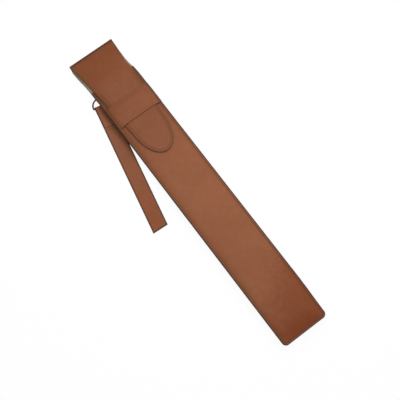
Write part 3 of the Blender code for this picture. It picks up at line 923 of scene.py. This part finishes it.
HIDE = leather("bag_leather", dark=(0.228, 0.0695, 0.0226), light=(0.271, 0.0885, 0.0311),
               rough=0.43)
STRAP_HIDE = leather("strap_leather", dark=(0.208, 0.0605, 0.020),
                     light=(0.257, 0.0787, 0.028), rough=0.45, strap=True)
WEAVE = cloth("lining_weave", dark=(0.380, 0.325, 0.240), light=(0.520, 0.455, 0.350))
WAXED = thread("waxed_thread", dark=(0.066, 0.021, 0.009), light=(0.125, 0.040, 0.017))
TONAL = thread("matched_thread", dark=(0.130, 0.040, 0.014), light=(0.230, 0.072, 0.026))
GUNMETAL = metal("gunmetal", dark=(0.026, 0.024, 0.023), light=(0.100, 0.094, 0.088))


# ---- panels -------------------------------------------------------------------------
def column_shares(half, fine):
    """Columns from -1 to 1 of the half width, close together over the sewn margins."""
    steps = np.concatenate([MARGIN_STEPS, np.linspace(MARGIN_STEPS[-1], half, fine)[1:]])
    left = -(half - steps) / half
    return np.concatenate([left, -left[::-1][1:]])


def panel_grid(top_y, edge):
    """x and y of a panel's grid: rounded bottom corners, fine columns at the margins."""
    radius = CORNER - edge
    start = BOTTOM + edge
    turn = np.linspace(0, math.pi / 2, 20)
    straight = np.linspace(start + radius, top_y, int((top_y - start - radius) / 0.95))
    ys = np.concatenate([start + radius * (1 - np.cos(turn)), straight[1:]])
    into = np.clip(radius - (ys - start), 0, None)
    half = half_width(ys) - edge
    half = half - (radius - np.sqrt(np.maximum(radius**2 - into**2, 0)))
    x = half[:, None] * column_shares(half_width(0.0) - edge, 22)[None, :]
    y = np.broadcast_to(ys[:, None], x.shape).copy()
    return x, y


def groove(distance, depth=0.13, width=0.5):
    return depth * np.exp(-((distance / width) ** 2))


def panel(node, base, side, top_y, lining=False, flush=False, bare_above=999.0,
          wide_above=None):
    """A leather panel, or the lining inside one. Its sides are unpainted above bare_above."""
    edge = 2.0 if lining else EDGE
    x, y = panel_grid(top_y, edge)
    if wide_above is not None:  # above this height the sheet runs almost to the outline
        x = x * (1 + (edge - 0.75) / (half_width(y) - edge) * ease((y - wide_above) / 4.0))
    points, normals = laid(base, x, y, side)
    cut = inset(x, y) - edge + 0.15 + FAR * ease((y - bare_above) / 3.0)
    common = {"place": np.stack([x, y], -1), "flush": flush, "cut": cut}
    if lining:
        obj = shell(node + "_cloth", points, normals, 0.0, LINING, material=WEAVE,
                    radius=LINING_EDGE, **common)
    else:
        # The glued margin closes down to the seam, outside the lining.
        open_up = np.maximum(ease((inset(x, y) - 0.8) / 0.9), ease((y - MOUTH + 2.0) / 2.0))
        inner = 0.02 + (LINING + AIR - 0.02) * open_up
        seam = np.abs(inset(x, y) - STITCH_IN)
        obj = shell(node + "_leather", points, normals, inner, SKIN, material=HIDE,
                    seam=seam, dip=groove(seam), **common)
    fit(obj, "case", node)


def build_panels():
    panel("front_panel", front_base, 1.0, MOUTH - EDGE)
    panel("back_panel", back_base, -1.0, JOIN_Y, flush="last", bare_above=MOUTH)
    panel("front_lining", front_base, 1.0, MOUTH - 1.0, lining=True)
    panel("back_lining", back_base, -1.0, JOIN_Y, lining=True, flush="last",
          wide_above=MOUTH - 1.5)


# ---- flap ---------------------------------------------------------------------------
def tongue_patch(share, edge):
    """x and y rows of the flap's rounded tip: half an ellipse filled between its straight
    head, two short side arcs and the long arc at the bottom."""
    wide, tall = TONGUE_HALF - edge, TONGUE_START - TONGUE_TIP - edge
    split = math.radians(50)
    across = (share + 1) / 2
    bottom_turn = math.pi - split - (math.pi - 2 * split) * across
    bottom = np.stack([wide * np.cos(bottom_turn), -tall * np.sin(bottom_turn)], -1)
    head = np.stack([share * wide, 0 * share], -1)
    to_left, to_right = (1 - across)[:, None], across[:, None]
    for down in np.linspace(0, 1, TONGUE_ROWS + 1)[1:]:
        turn = split * down
        left = np.array([-wide * math.cos(turn), -tall * math.sin(turn)])
        right = np.array([wide * math.cos(turn), -tall * math.sin(turn)])
        flat = ((1 - down) * head + down * bottom + to_left * left + to_right * right
                - to_left * (1 - down) * head[0] - to_right * (1 - down) * head[-1]
                - to_left * down * bottom[0] - to_right * down * bottom[-1])
        yield flat[:, 0], TONGUE_START + flat[:, 1]


def flap_grid(edge, start_edge):
    """Points, normals, place, weight and rest x, y of the piece that bends at the fold:
    a strip on the back, the fold, and the flap down to its tip."""
    share = column_shares(31.0, 20)
    points, normals, xs, ys = [], [], [], []

    def add_row(spots, ups, x, y):
        points.append(spots)
        normals.append(ups)
        xs.append(x)
        ys.append(y)

    for y in np.linspace(JOIN_Y, FOLD_Y, BACK_ROWS + 1)[:-1]:
        to = ease((y - JOIN_Y) / (FOLD_Y - JOIN_Y))
        half = half_width(JOIN_Y) * (1 - to) + FLAP_HALF_TOP * to
        x = share * (half - edge * to - start_edge * (1 - to))
        add_row(np.stack([x, 0 * x + y, 0 * x + FOLD_Z - FOLD_INNER], -1),
                np.tile([0.0, 0.0, -1.0], (len(x), 1)), x, 0 * x + y)
    x = share * (FLAP_HALF_TOP - edge)
    slope = flap_slope(x)
    fold_steps = np.arange(FOLD_ROWS)
    for k in fold_steps:
        turn = -math.pi / 2 + (math.pi - slope) * k / (FOLD_ROWS - 1)
        add_row(np.stack([x, FOLD_Y + FOLD_INNER * np.cos(turn),
                          FOLD_Z + FOLD_INNER * np.sin(turn)], -1),
                np.stack([0 * x, np.cos(turn), np.sin(turn)], -1), x, 0 * x + FOLD_Y + 0.001)
    start_y = FOLD_Y + FOLD_INNER * np.cos(np.pi / 2 - slope)
    heights = [start_y + (FLAT_Y - start_y) * part
               for part in np.linspace(0, 1, SLOPE_ROWS + 1)[1:]]
    heights += [np.full_like(share, y)
                for y in np.linspace(FLAT_Y, TONGUE_START, FLAT_ROWS + 1)[1:]]
    for y in heights:
        x = share * (flap_half(y) - edge)
        add_row(*laid(flap_base, x, y), x, y)
    for x, y in tongue_patch(share, edge):
        add_row(*laid(flap_base, x, y), x, y)

    points, normals, xs, ys = np.array(points), np.array(normals), np.array(xs), np.array(ys)
    weight = np.concatenate([np.zeros(BACK_ROWS), fold_steps / (FOLD_ROWS - 1),
                             np.ones(len(xs) - BACK_ROWS - FOLD_ROWS)])
    weight = np.repeat(weight[:, None], len(share), 1)
    centre = len(share) // 2
    run = path_lengths(points[:, centre] + normals[:, centre] * SKIN)
    along = np.repeat(run[:, None], len(share), 1)
    straight = BACK_ROWS + FOLD_ROWS + SLOPE_ROWS + FLAT_ROWS
    along[straight:] = run[straight - 1] + (TONGUE_START - ys[straight:])
    place = np.stack([xs, FLAP_PLACE + along], -1)
    return points, normals, place, weight, xs, ys


def tongue_inset(x, y, extra=0.0):
    """Distance in from the outline of the flap, less extra."""
    sides = flap_half(np.minimum(y, TOP)) - np.abs(x) - extra
    wide, tall = TONGUE_HALF - extra, TONGUE_START - TONGUE_TIP - extra
    down = TONGUE_START - y
    radius = np.sqrt((x / wide) ** 2 + (down / tall) ** 2) + 1e-9
    slope = np.sqrt((x / wide**2) ** 2 + (down / tall**2) ** 2) / radius + 1e-9
    return np.where(y < TONGUE_START, (1 - radius) / slope, sides)


def fit_flap(obj, node):
    """Bakes the piece's placement into its points and hides the frame's part that it stands for."""
    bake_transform(obj)
    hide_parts(node)


def build_flap():
    points, normals, place, weight, x, y = flap_grid(EDGE, EDGE)
    cut = tongue_inset(x, y) - EDGE + 0.35
    seam = np.abs(tongue_inset(x, y, STITCH_IN))
    seam = np.where(y > 168.0, FAR, seam)
    # Bare where it carries on from the back panel.
    cut[:BACK_ROWS] += FAR * (1 - ease((y[:BACK_ROWS] - JOIN_Y) / 4.5))
    outer = shell("flap_leather", points, normals, LINING + AIR, SKIN, place, HIDE,
                  flush="first", cut=cut, seam=seam, dip=groove(seam),
                  dye=0.5 + 0.5 * ease((y - FLAT_Y) / 15.0))
    fit_flap(outer, "flap")

    points, normals, place, weight, x, y = flap_grid(1.4, 0.75)
    lined = shell("flap_lining_cloth", points, normals, 0.0, LINING, place, WEAVE,
                  radius=LINING_EDGE, flush="first", cut=tongue_inset(x, y))
    fit_flap(lined, "flap_lining")


# ---- keeper band --------------------------------------------------------------------
def build_keeper():
    margin = 4.4  # finer rows along both edges
    ys = np.concatenate([
        np.linspace(KEEPER_BOTTOM + EDGE, KEEPER_BOTTOM + margin, 11),
        np.linspace(KEEPER_BOTTOM + margin, KEEPER_TOP - margin, 26)[1:],
        np.linspace(KEEPER_TOP - margin, KEEPER_TOP - EDGE, 11)[1:]])
    share = column_shares(31.0, 22)
    y = np.repeat(ys[:, None], len(share), 1)
    x = share[None, :] * (half_width(ys) - EDGE)[:, None]
    points, normals = laid(keeper_base, x, y)
    from_side = half_width(y) - np.abs(x)
    from_edge = np.minimum(y - KEEPER_BOTTOM, KEEPER_TOP - y)
    seam = np.abs(from_side - STITCH_IN)
    sewn = np.where(np.abs(x) < 29.0, np.abs(from_edge - STITCH_IN), FAR)
    # Paint marks the ends, and the lower edge except at its left.
    low_cut = (y - KEEPER_BOTTOM) + FAR * ease((-x - 23.5) / 2.0)
    cut = np.where(y > KEEPER_TOP - 6.0, from_side, np.minimum(low_cut + 2.0, from_side))
    dip = groove(seam, depth=0.08) + groove(sewn, depth=0.05) + keeper_pared(x, y)
    band = shell("keeper_band_leather", points, normals, 0.0, LEATHER, np.stack([x, y], -1),
                 HIDE, cut=cut - EDGE + 0.15, seam=seam, dip=dip, dye=0.22)
    fit(band, "case", "keeper_band")


# ---- stitching ----------------------------------------------------------------------
def mirrored(right, height, side=1.0):
    """Points and normals of a path given as its right half, then its mirror image."""
    path = np.array(right + [(-x, y) for x, y in reversed(right)], float)
    return laid(height, path[:, 0], path[:, 1], side)


def seam_line(height, side):
    """Down the right margin, round the bottom and up the left."""
    right = [(half_width(y) - STITCH_IN, y)
             for y in np.arange(MOUTH - 2.0, BOTTOM + CORNER, -0.4)]
    inner = CORNER - STITCH_IN
    corner_x = half_width(BOTTOM) - CORNER
    for turn in np.linspace(0, math.pi / 2, 14):
        right.append((corner_x + inner * math.cos(turn),
                      BOTTOM + CORNER - inner * math.sin(turn)))
    right += [(x, BOTTOM + STITCH_IN) for x in np.arange(corner_x - 0.5, 0.0, -0.5)]
    return mirrored(right, height, side)


def flap_line():
    right = [(flap_half(y) - STITCH_IN, y) for y in np.arange(166.5, TONGUE_START, -0.5)]
    wide, tall = TONGUE_HALF - STITCH_IN, TONGUE_START - TONGUE_TIP - STITCH_IN
    for turn in np.linspace(0, math.pi / 2, 60):
        right.append((wide * math.cos(turn), TONGUE_START - tall * math.sin(turn)))
    path = right[:-1] + [(-x, y) for x, y in reversed(right)]
    path = np.array(path, float)
    return laid(flap_top, path[:, 0], path[:, 1])


def cross_line(height, half, count, y):
    """Straight across the bag at height y."""
    xs = np.linspace(-half, half, count)
    return laid(height, xs, 0 * xs + y)


def in_keeper(spots, margin):
    y = spots[:, 1]
    return (y < KEEPER_TOP + margin) & (y > KEEPER_BOTTOM - margin)


def sew(obj, body, node):
    fit(obj, body, node)


def build_stitching():
    low = stitches("front_seam_low", *seam_line(front_face, 1.0), WAXED,
                   keep=lambda spots: ~in_keeper(spots, 0.2))
    high = stitches("front_seam_high", *seam_line(keeper_top, 1.0), WAXED,
                    keep=lambda spots: in_keeper(spots, -0.5))
    sew(join("front_seam_stitches", [low, high]), "case", "front_seam_thread")
    sew(stitches("back_seam_stitches", *seam_line(back_face, -1.0), WAXED, slant=-7.0),
        "case", "back_seam_thread")
    sew(stitches("mouth_hem_stitches", *cross_line(front_face, 26.0, 105, MOUTH - STITCH_IN),
                 WAXED, lift=-0.02, tall=0.16, wide=0.26, dive=0.2), "case", "mouth_thread")
    sew(stitches("flap_edge_stitches", *flap_line(), WAXED, lift=-0.03, tall=0.22, wide=0.28),
        "flap", "flap_thread")
    for label, y in (("upper", KEEPER_TOP - STITCH_IN), ("lower", KEEPER_BOTTOM + STITCH_IN)):
        xs = np.arange(-27.6, 27.61, 0.5)
        sew(stitches(f"keeper_{label}_stitches", *laid(keeper_top, xs, 0 * xs + y), TONAL,
                     lift=-0.06, tall=0.20, wide=0.26), "case", f"keeper_{label}_thread")


# ---- ring, tab and strap --------------------------------------------------------------
def ring_point(across, up):
    return BAR + ACROSS * across + CROWN * up


def build_ring():
    """A D of wire: the straight bar, a tight corner, the bow and the other corner."""
    flat = RING_HALF - RING_CORNER

    def corner_point(k, side):
        turn = math.pi / 2 * k / 10
        return ring_point(side * (flat + RING_CORNER * math.sin(turn)),
                          RING_CORNER * (1 - math.cos(turn)))

    path = [ring_point(-flat + 2 * flat * k / 24, 0.0) for k in range(24)]
    path += [corner_point(k, 1) for k in range(10)]
    for k in range(60):
        turn = math.pi * k / 60
        rise = (RING_TALL - RING_CORNER) * math.sin(turn) ** 0.9
        path.append(ring_point(RING_HALF * math.cos(turn), RING_CORNER + rise))
    path += [corner_point(k, -1) for k in range(10, 0, -1)]
    ring = ring_tube("ring_wire", path, WIRE + 0.05, GUNMETAL)
    fit(ring, "ring", "d_ring")


def path_lengths(line):
    step = np.linalg.norm(np.diff(line, axis=0), axis=1)
    return np.concatenate([[0], np.cumsum(step)])


def tab_spots(along, shares):
    """Points across the tab, a distance along from the ring's axis."""
    half = TAB_WIDTH / 2 - 0.3
    return RING_AXIS - DOWN * along + ACROSS * shares[:, None] * half


def tab_face_row(along, shares, loop_z, drop, start, run):
    """A row that follows the back panel, drop below it, and nears loop_z at the ring."""
    coarse = np.array([-1.0, -0.5, 0.0, 0.5, 1.0])
    guides = tab_spots(along, coarse)
    limit = back_face(guides[:, 0], guides[:, 1]) - 1.0 - TAB_THICK / 2 - drop
    near = float(ease((along - start) / run))
    spots = tab_spots(along, shares)
    spots[:, 2] = np.interp(shares, coarse,
                            np.minimum(limit * near + loop_z * (1 - near), limit))
    return spots


def build_tab():
    """A doubled tab: along the back panel, round the ring and back underneath. The tab's
    own path is coarse in the frame; this one follows it smoothly."""
    from_edge = np.array([0, 0.08, 0.18, 0.3])
    shares = np.concatenate([-1 + from_edge, np.linspace(-0.55, 0.55, 9),
                             1 - from_edge[::-1]])
    axis_z = RING_AXIS[2]
    rows = [tab_face_row(along, shares, loop_z=axis_z + TAB_LOOP, drop=0.0, start=2.0, run=6.0)
            for along in np.linspace(TAB_LONG - 0.3, 3.0, TAB_ROWS)]
    for k in range(17):
        turn = math.pi / 2 + math.pi * k / 16
        row = tab_spots(TAB_LOOP * math.cos(turn), shares)
        row[:, 2] = axis_z + TAB_LOOP * math.sin(turn)
        rows.append(row)
    rows += [tab_face_row(along, shares, loop_z=axis_z - TAB_LOOP, drop=TAB_THICK + 0.3,
                          start=1.0, run=7.0)
             for along in np.linspace(3.0, TAB_LONG - 0.3, TAB_ROWS)]
    points = np.array(rows)
    for _ in range(3):
        smooth(points)
    centre = len(shares) // 2
    half = TAB_WIDTH / 2 - 0.3
    shape = points.shape[:2]
    run = path_lengths(points[:, centre])
    place = np.stack([np.broadcast_to(shares * half + TAB_PLACE, shape),
                      np.broadcast_to(run[:, None], shape)], -1)
    cut = np.broadcast_to(half * (1 - np.abs(shares)), shape) + 0.1
    normals = unit(np.cross(np.gradient(points, axis=1), np.gradient(points, axis=0)))
    tab = shell("ring_tab_leather", points, normals, -TAB_THICK / 2 + 0.03,
                TAB_THICK / 2 - 0.03, place, HIDE, radius=0.3, cut=cut)
    fit(tab, "case", "ring_tab")

    count = 40
    spots = np.array([RING_AXIS - DOWN * along for along in np.linspace(8.0, 16.2, count)])
    lower = points[-TAB_ROWS:, centre]
    order = np.argsort(lower[:, 1])
    spots[:, 2] = np.interp(spots[:, 1], lower[order, 1], lower[order, 2]) - TAB_THICK / 2
    sew(stitches("tab_stitches", spots, np.tile([0.0, 0.0, -1.0], (count, 1)), WAXED,
                 pitch=2.6, length=2.0), "case", "tab_thread")


def strap_line(loop, stack):
    """The strap's path as (along, height) from the bar: tail, loop, then the long part."""
    line = []
    tail = [np.linspace(STRAP_TAIL - EDGE, 10.0, 32), np.linspace(10.0, 1.2, 14)[1:]]
    for along in np.concatenate(tail):
        join_up = float(ease(along / 9.0))
        line.append((along, loop * (1 - join_up) + (stack - loop) * join_up))
    for k in range(21):
        turn = math.pi / 2 + math.pi * k / 20
        line.append((loop * math.cos(turn), loop * math.sin(turn)))
    line += [(along, -loop) for along in np.linspace(1.5, STRAP_LENGTH - EDGE, 176)]
    line = np.array(line)
    for _ in range(2):
        smooth(line)
    return line


def build_strap():
    loop = WIRE + 0.1 + STRAP_THICK / 2
    stack = STRAP_THICK + 0.25
    upright = np.array([0, 0, 1.0])
    half = STRAP_WIDTH / 2 - EDGE
    near = np.array([0, 0.25, 0.5, 0.9, 1.4, 2.0, 2.8, 3.8])
    xs = np.concatenate([-half + near, np.linspace(-half + 3.8, half - 3.8, 15)[1:-1],
                         (half - near)[::-1]])
    line = strap_line(loop, stack)
    skew_start = 100.0
    far = np.clip((line[:, 0] - skew_start) / (STRAP_LENGTH - EDGE - skew_start), 0, 1)
    far = far * (np.arange(len(line)) > 60)
    along = line[:, 0][:, None] - STRAP_SKEW * far[:, None] * xs[None, :] / half
    points = (BAR + DOWN * along[..., None] + upright * line[:, 1][:, None, None]
              + ACROSS * xs[None, :, None])
    shape = points.shape[:2]
    run = path_lengths(points[:, 5])
    place = np.stack([np.broadcast_to(xs + STRAP_PLACE, shape),
                      np.broadcast_to(run[:, None], shape)], -1)
    edge_in = np.broadcast_to(half - np.abs(xs), shape)
    cut = np.minimum(edge_in, (run[-1] - run)[:, None]) + 0.15
    cut = np.where(run[:, None] < 2.5, FAR, cut)
    pared = 0.75 * (1 - ease(run / 6.0))[:, None] + 0 * xs[None, :]
    line_normal = unit(np.stack([-np.gradient(line[:, 1]), np.gradient(line[:, 0])], -1))
    normals = DOWN * line_normal[:, :1] + upright * line_normal[:, 1:]
    normals = np.broadcast_to(normals[:, None, :], points.shape).copy()
    seam = np.abs(run - (STITCH_IN - EDGE))[:, None] + 0 * xs[None, :]
    strap = shell("strap_leather_band", points, normals, -STRAP_THICK / 2 + pared,
                  STRAP_THICK / 2, place, STRAP_HIDE, cut=cut, seam=seam)
    fit(strap, "strap", "strap")

    count = 60
    across = np.linspace(-8.8, 8.8, count)
    spots = (BAR + DOWN * (STRAP_TAIL - STITCH_IN) + ACROSS * across[:, None]
             + upright * (stack - loop + STRAP_THICK / 2))
    sew(stitches("strap_tail_stitches", spots, np.tile(upright, (count, 1)), WAXED, lift=0.02,
                 tall=0.25, pitch=3.0, length=2.3), "strap", "strap_thread")


def ease_outline():
    """The sewn bag isn't ruler-straight: its right edge stands out a little between the
    mouth and the foot, and both edges widen towards the fold."""
    stay = ("ring_wire", "strap_leather_band", "strap_tail_stitches")
    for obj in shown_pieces():
        if obj.name in stay or obj.type != "MESH":
            continue
        mesh = obj.data
        spots = read_vectors(mesh.vertices, "co", len(mesh.vertices))
        x, y = spots[:, 0] / MM, spots[:, 1] / MM
        waist = np.exp(-(((y - 188.0) / 14.0) ** 2))
        right = 1.3 * ease((y - BOTTOM) / 60.0) * (1 - 0.7 * waist)
        right = right + 0.8 * ease((y - 204.0) / 16.0)
        left = 1.1 * ease((y - 150.0) / 35.0)
        spots[:, 0] += (right * np.clip(x, 0, None) + left * np.clip(x, None, 0)) / 32.0 * MM
        mesh.vertices.foreach_set("co", spots.ravel())
        mesh.update()


# ---- light, floor and camera, in metres -------------------------------------------------
def build_floor():
    bpy.ops.mesh.primitive_plane_add(size=6.0, location=(0, 0, -0.0002))
    floor = bpy.context.object
    floor.name = "pale_floor"
    net = Nodes("pale_floor")
    spot = net.new("ShaderNodeTexCoord").outputs["Object"]
    cloud = net.noise(spot, scale=3.0)
    net.surface(
        Base_Color=net.mix(cloud, (0.40, 0.40, 0.40), (0.42, 0.42, 0.42)),
        Emission_Color=(1.0, 1.0, 1.0),
        Emission_Strength=0.56,
        Roughness=0.9,
        Specular_IOR_Level=0.1)
    # A clear table: the strap shows through it where it hangs down, and so does the
    # bag's back from below.
    clarity = 0.86
    clear = net.new("ShaderNodeBsdfTransparent")
    seen = net.times(net.new("ShaderNodeLightPath").outputs["Is Camera Ray"], clarity)
    behind = net.new("ShaderNodeNewGeometry").outputs["Backfacing"]
    through = net.math("MAXIMUM", behind, seen)
    under = net.new("ShaderNodeMixShader",
                    {0: through, 1: net.shader.outputs[0], 2: clear.outputs[0]})
    net.put(net.tree.nodes["Material Output"].inputs["Surface"], under.outputs[0])
    floor.data.materials.append(net.material)


def build_world():
    """White to the camera, dimmer as a light."""
    world = bpy.data.worlds.new("studio")
    bpy.context.scene.world = world
    world.use_nodes = True
    nodes, links = world.node_tree.nodes, world.node_tree.links
    sky = nodes["Background"]
    sky.inputs["Color"].default_value = (1.0, 1.0, 1.0, 1.0)
    seen = nodes.new("ShaderNodeLightPath").outputs["Is Camera Ray"]
    share = nodes.new("ShaderNodeMapRange")
    share.inputs["To Min"].default_value = 0.60
    share.inputs["To Max"].default_value = 1.0
    links.new(seen, share.inputs["Value"])
    links.new(share.outputs["Result"], sky.inputs["Strength"])


def build_key_light():
    spot, target = (0.15, 0.10, 0.70), (0.0, -0.02, 0.0)
    light = bpy.data.lights.new("key", "AREA")
    light.shape = "DISK"
    light.size = 0.50
    light.energy = 3.2
    light.color = (1, 1, 1)
    obj = bpy.data.objects.new("key", light)
    bpy.context.scene.collection.objects.link(obj)
    obj.location = spot
    aim = Vector(target) - Vector(spot)
    obj.rotation_euler = aim.to_track_quat("-Z", "Y").to_euler()


def build_camera():
    spot = (-0.2845, -0.2174, 1.3744)
    turn = Vector((-0.20459, 0.1474, 0.63929))  # axis, as long as the angle in radians
    half_view = math.radians(10.0)
    camera = bpy.data.objects.new("camera", bpy.data.cameras.new("camera"))
    bpy.context.scene.collection.objects.link(camera)
    lens = camera.data
    lens.sensor_fit = "HORIZONTAL"
    lens.sensor_width = 36.0
    lens.lens = lens.sensor_width / 2 / math.tan(half_view)
    lens.clip_start, lens.clip_end = 0.05, 20.0
    to_camera = Matrix.Rotation(turn.length, 3, turn.normalized())
    camera.matrix_world = Matrix.Translation(spot) @ to_camera.transposed().to_4x4()
    bpy.context.scene.camera = camera


def build_stage():
    view = bpy.context.scene.view_settings
    view.view_transform = "Standard"
    view.look = "None"
    build_floor()
    build_world()
    build_key_light()
    build_camera()


front_soft = settle_front()
build_panels()
build_flap()
build_keeper()
build_stitching()
build_ring()
build_tab()
build_strap()
ease_outline()
build_stage()
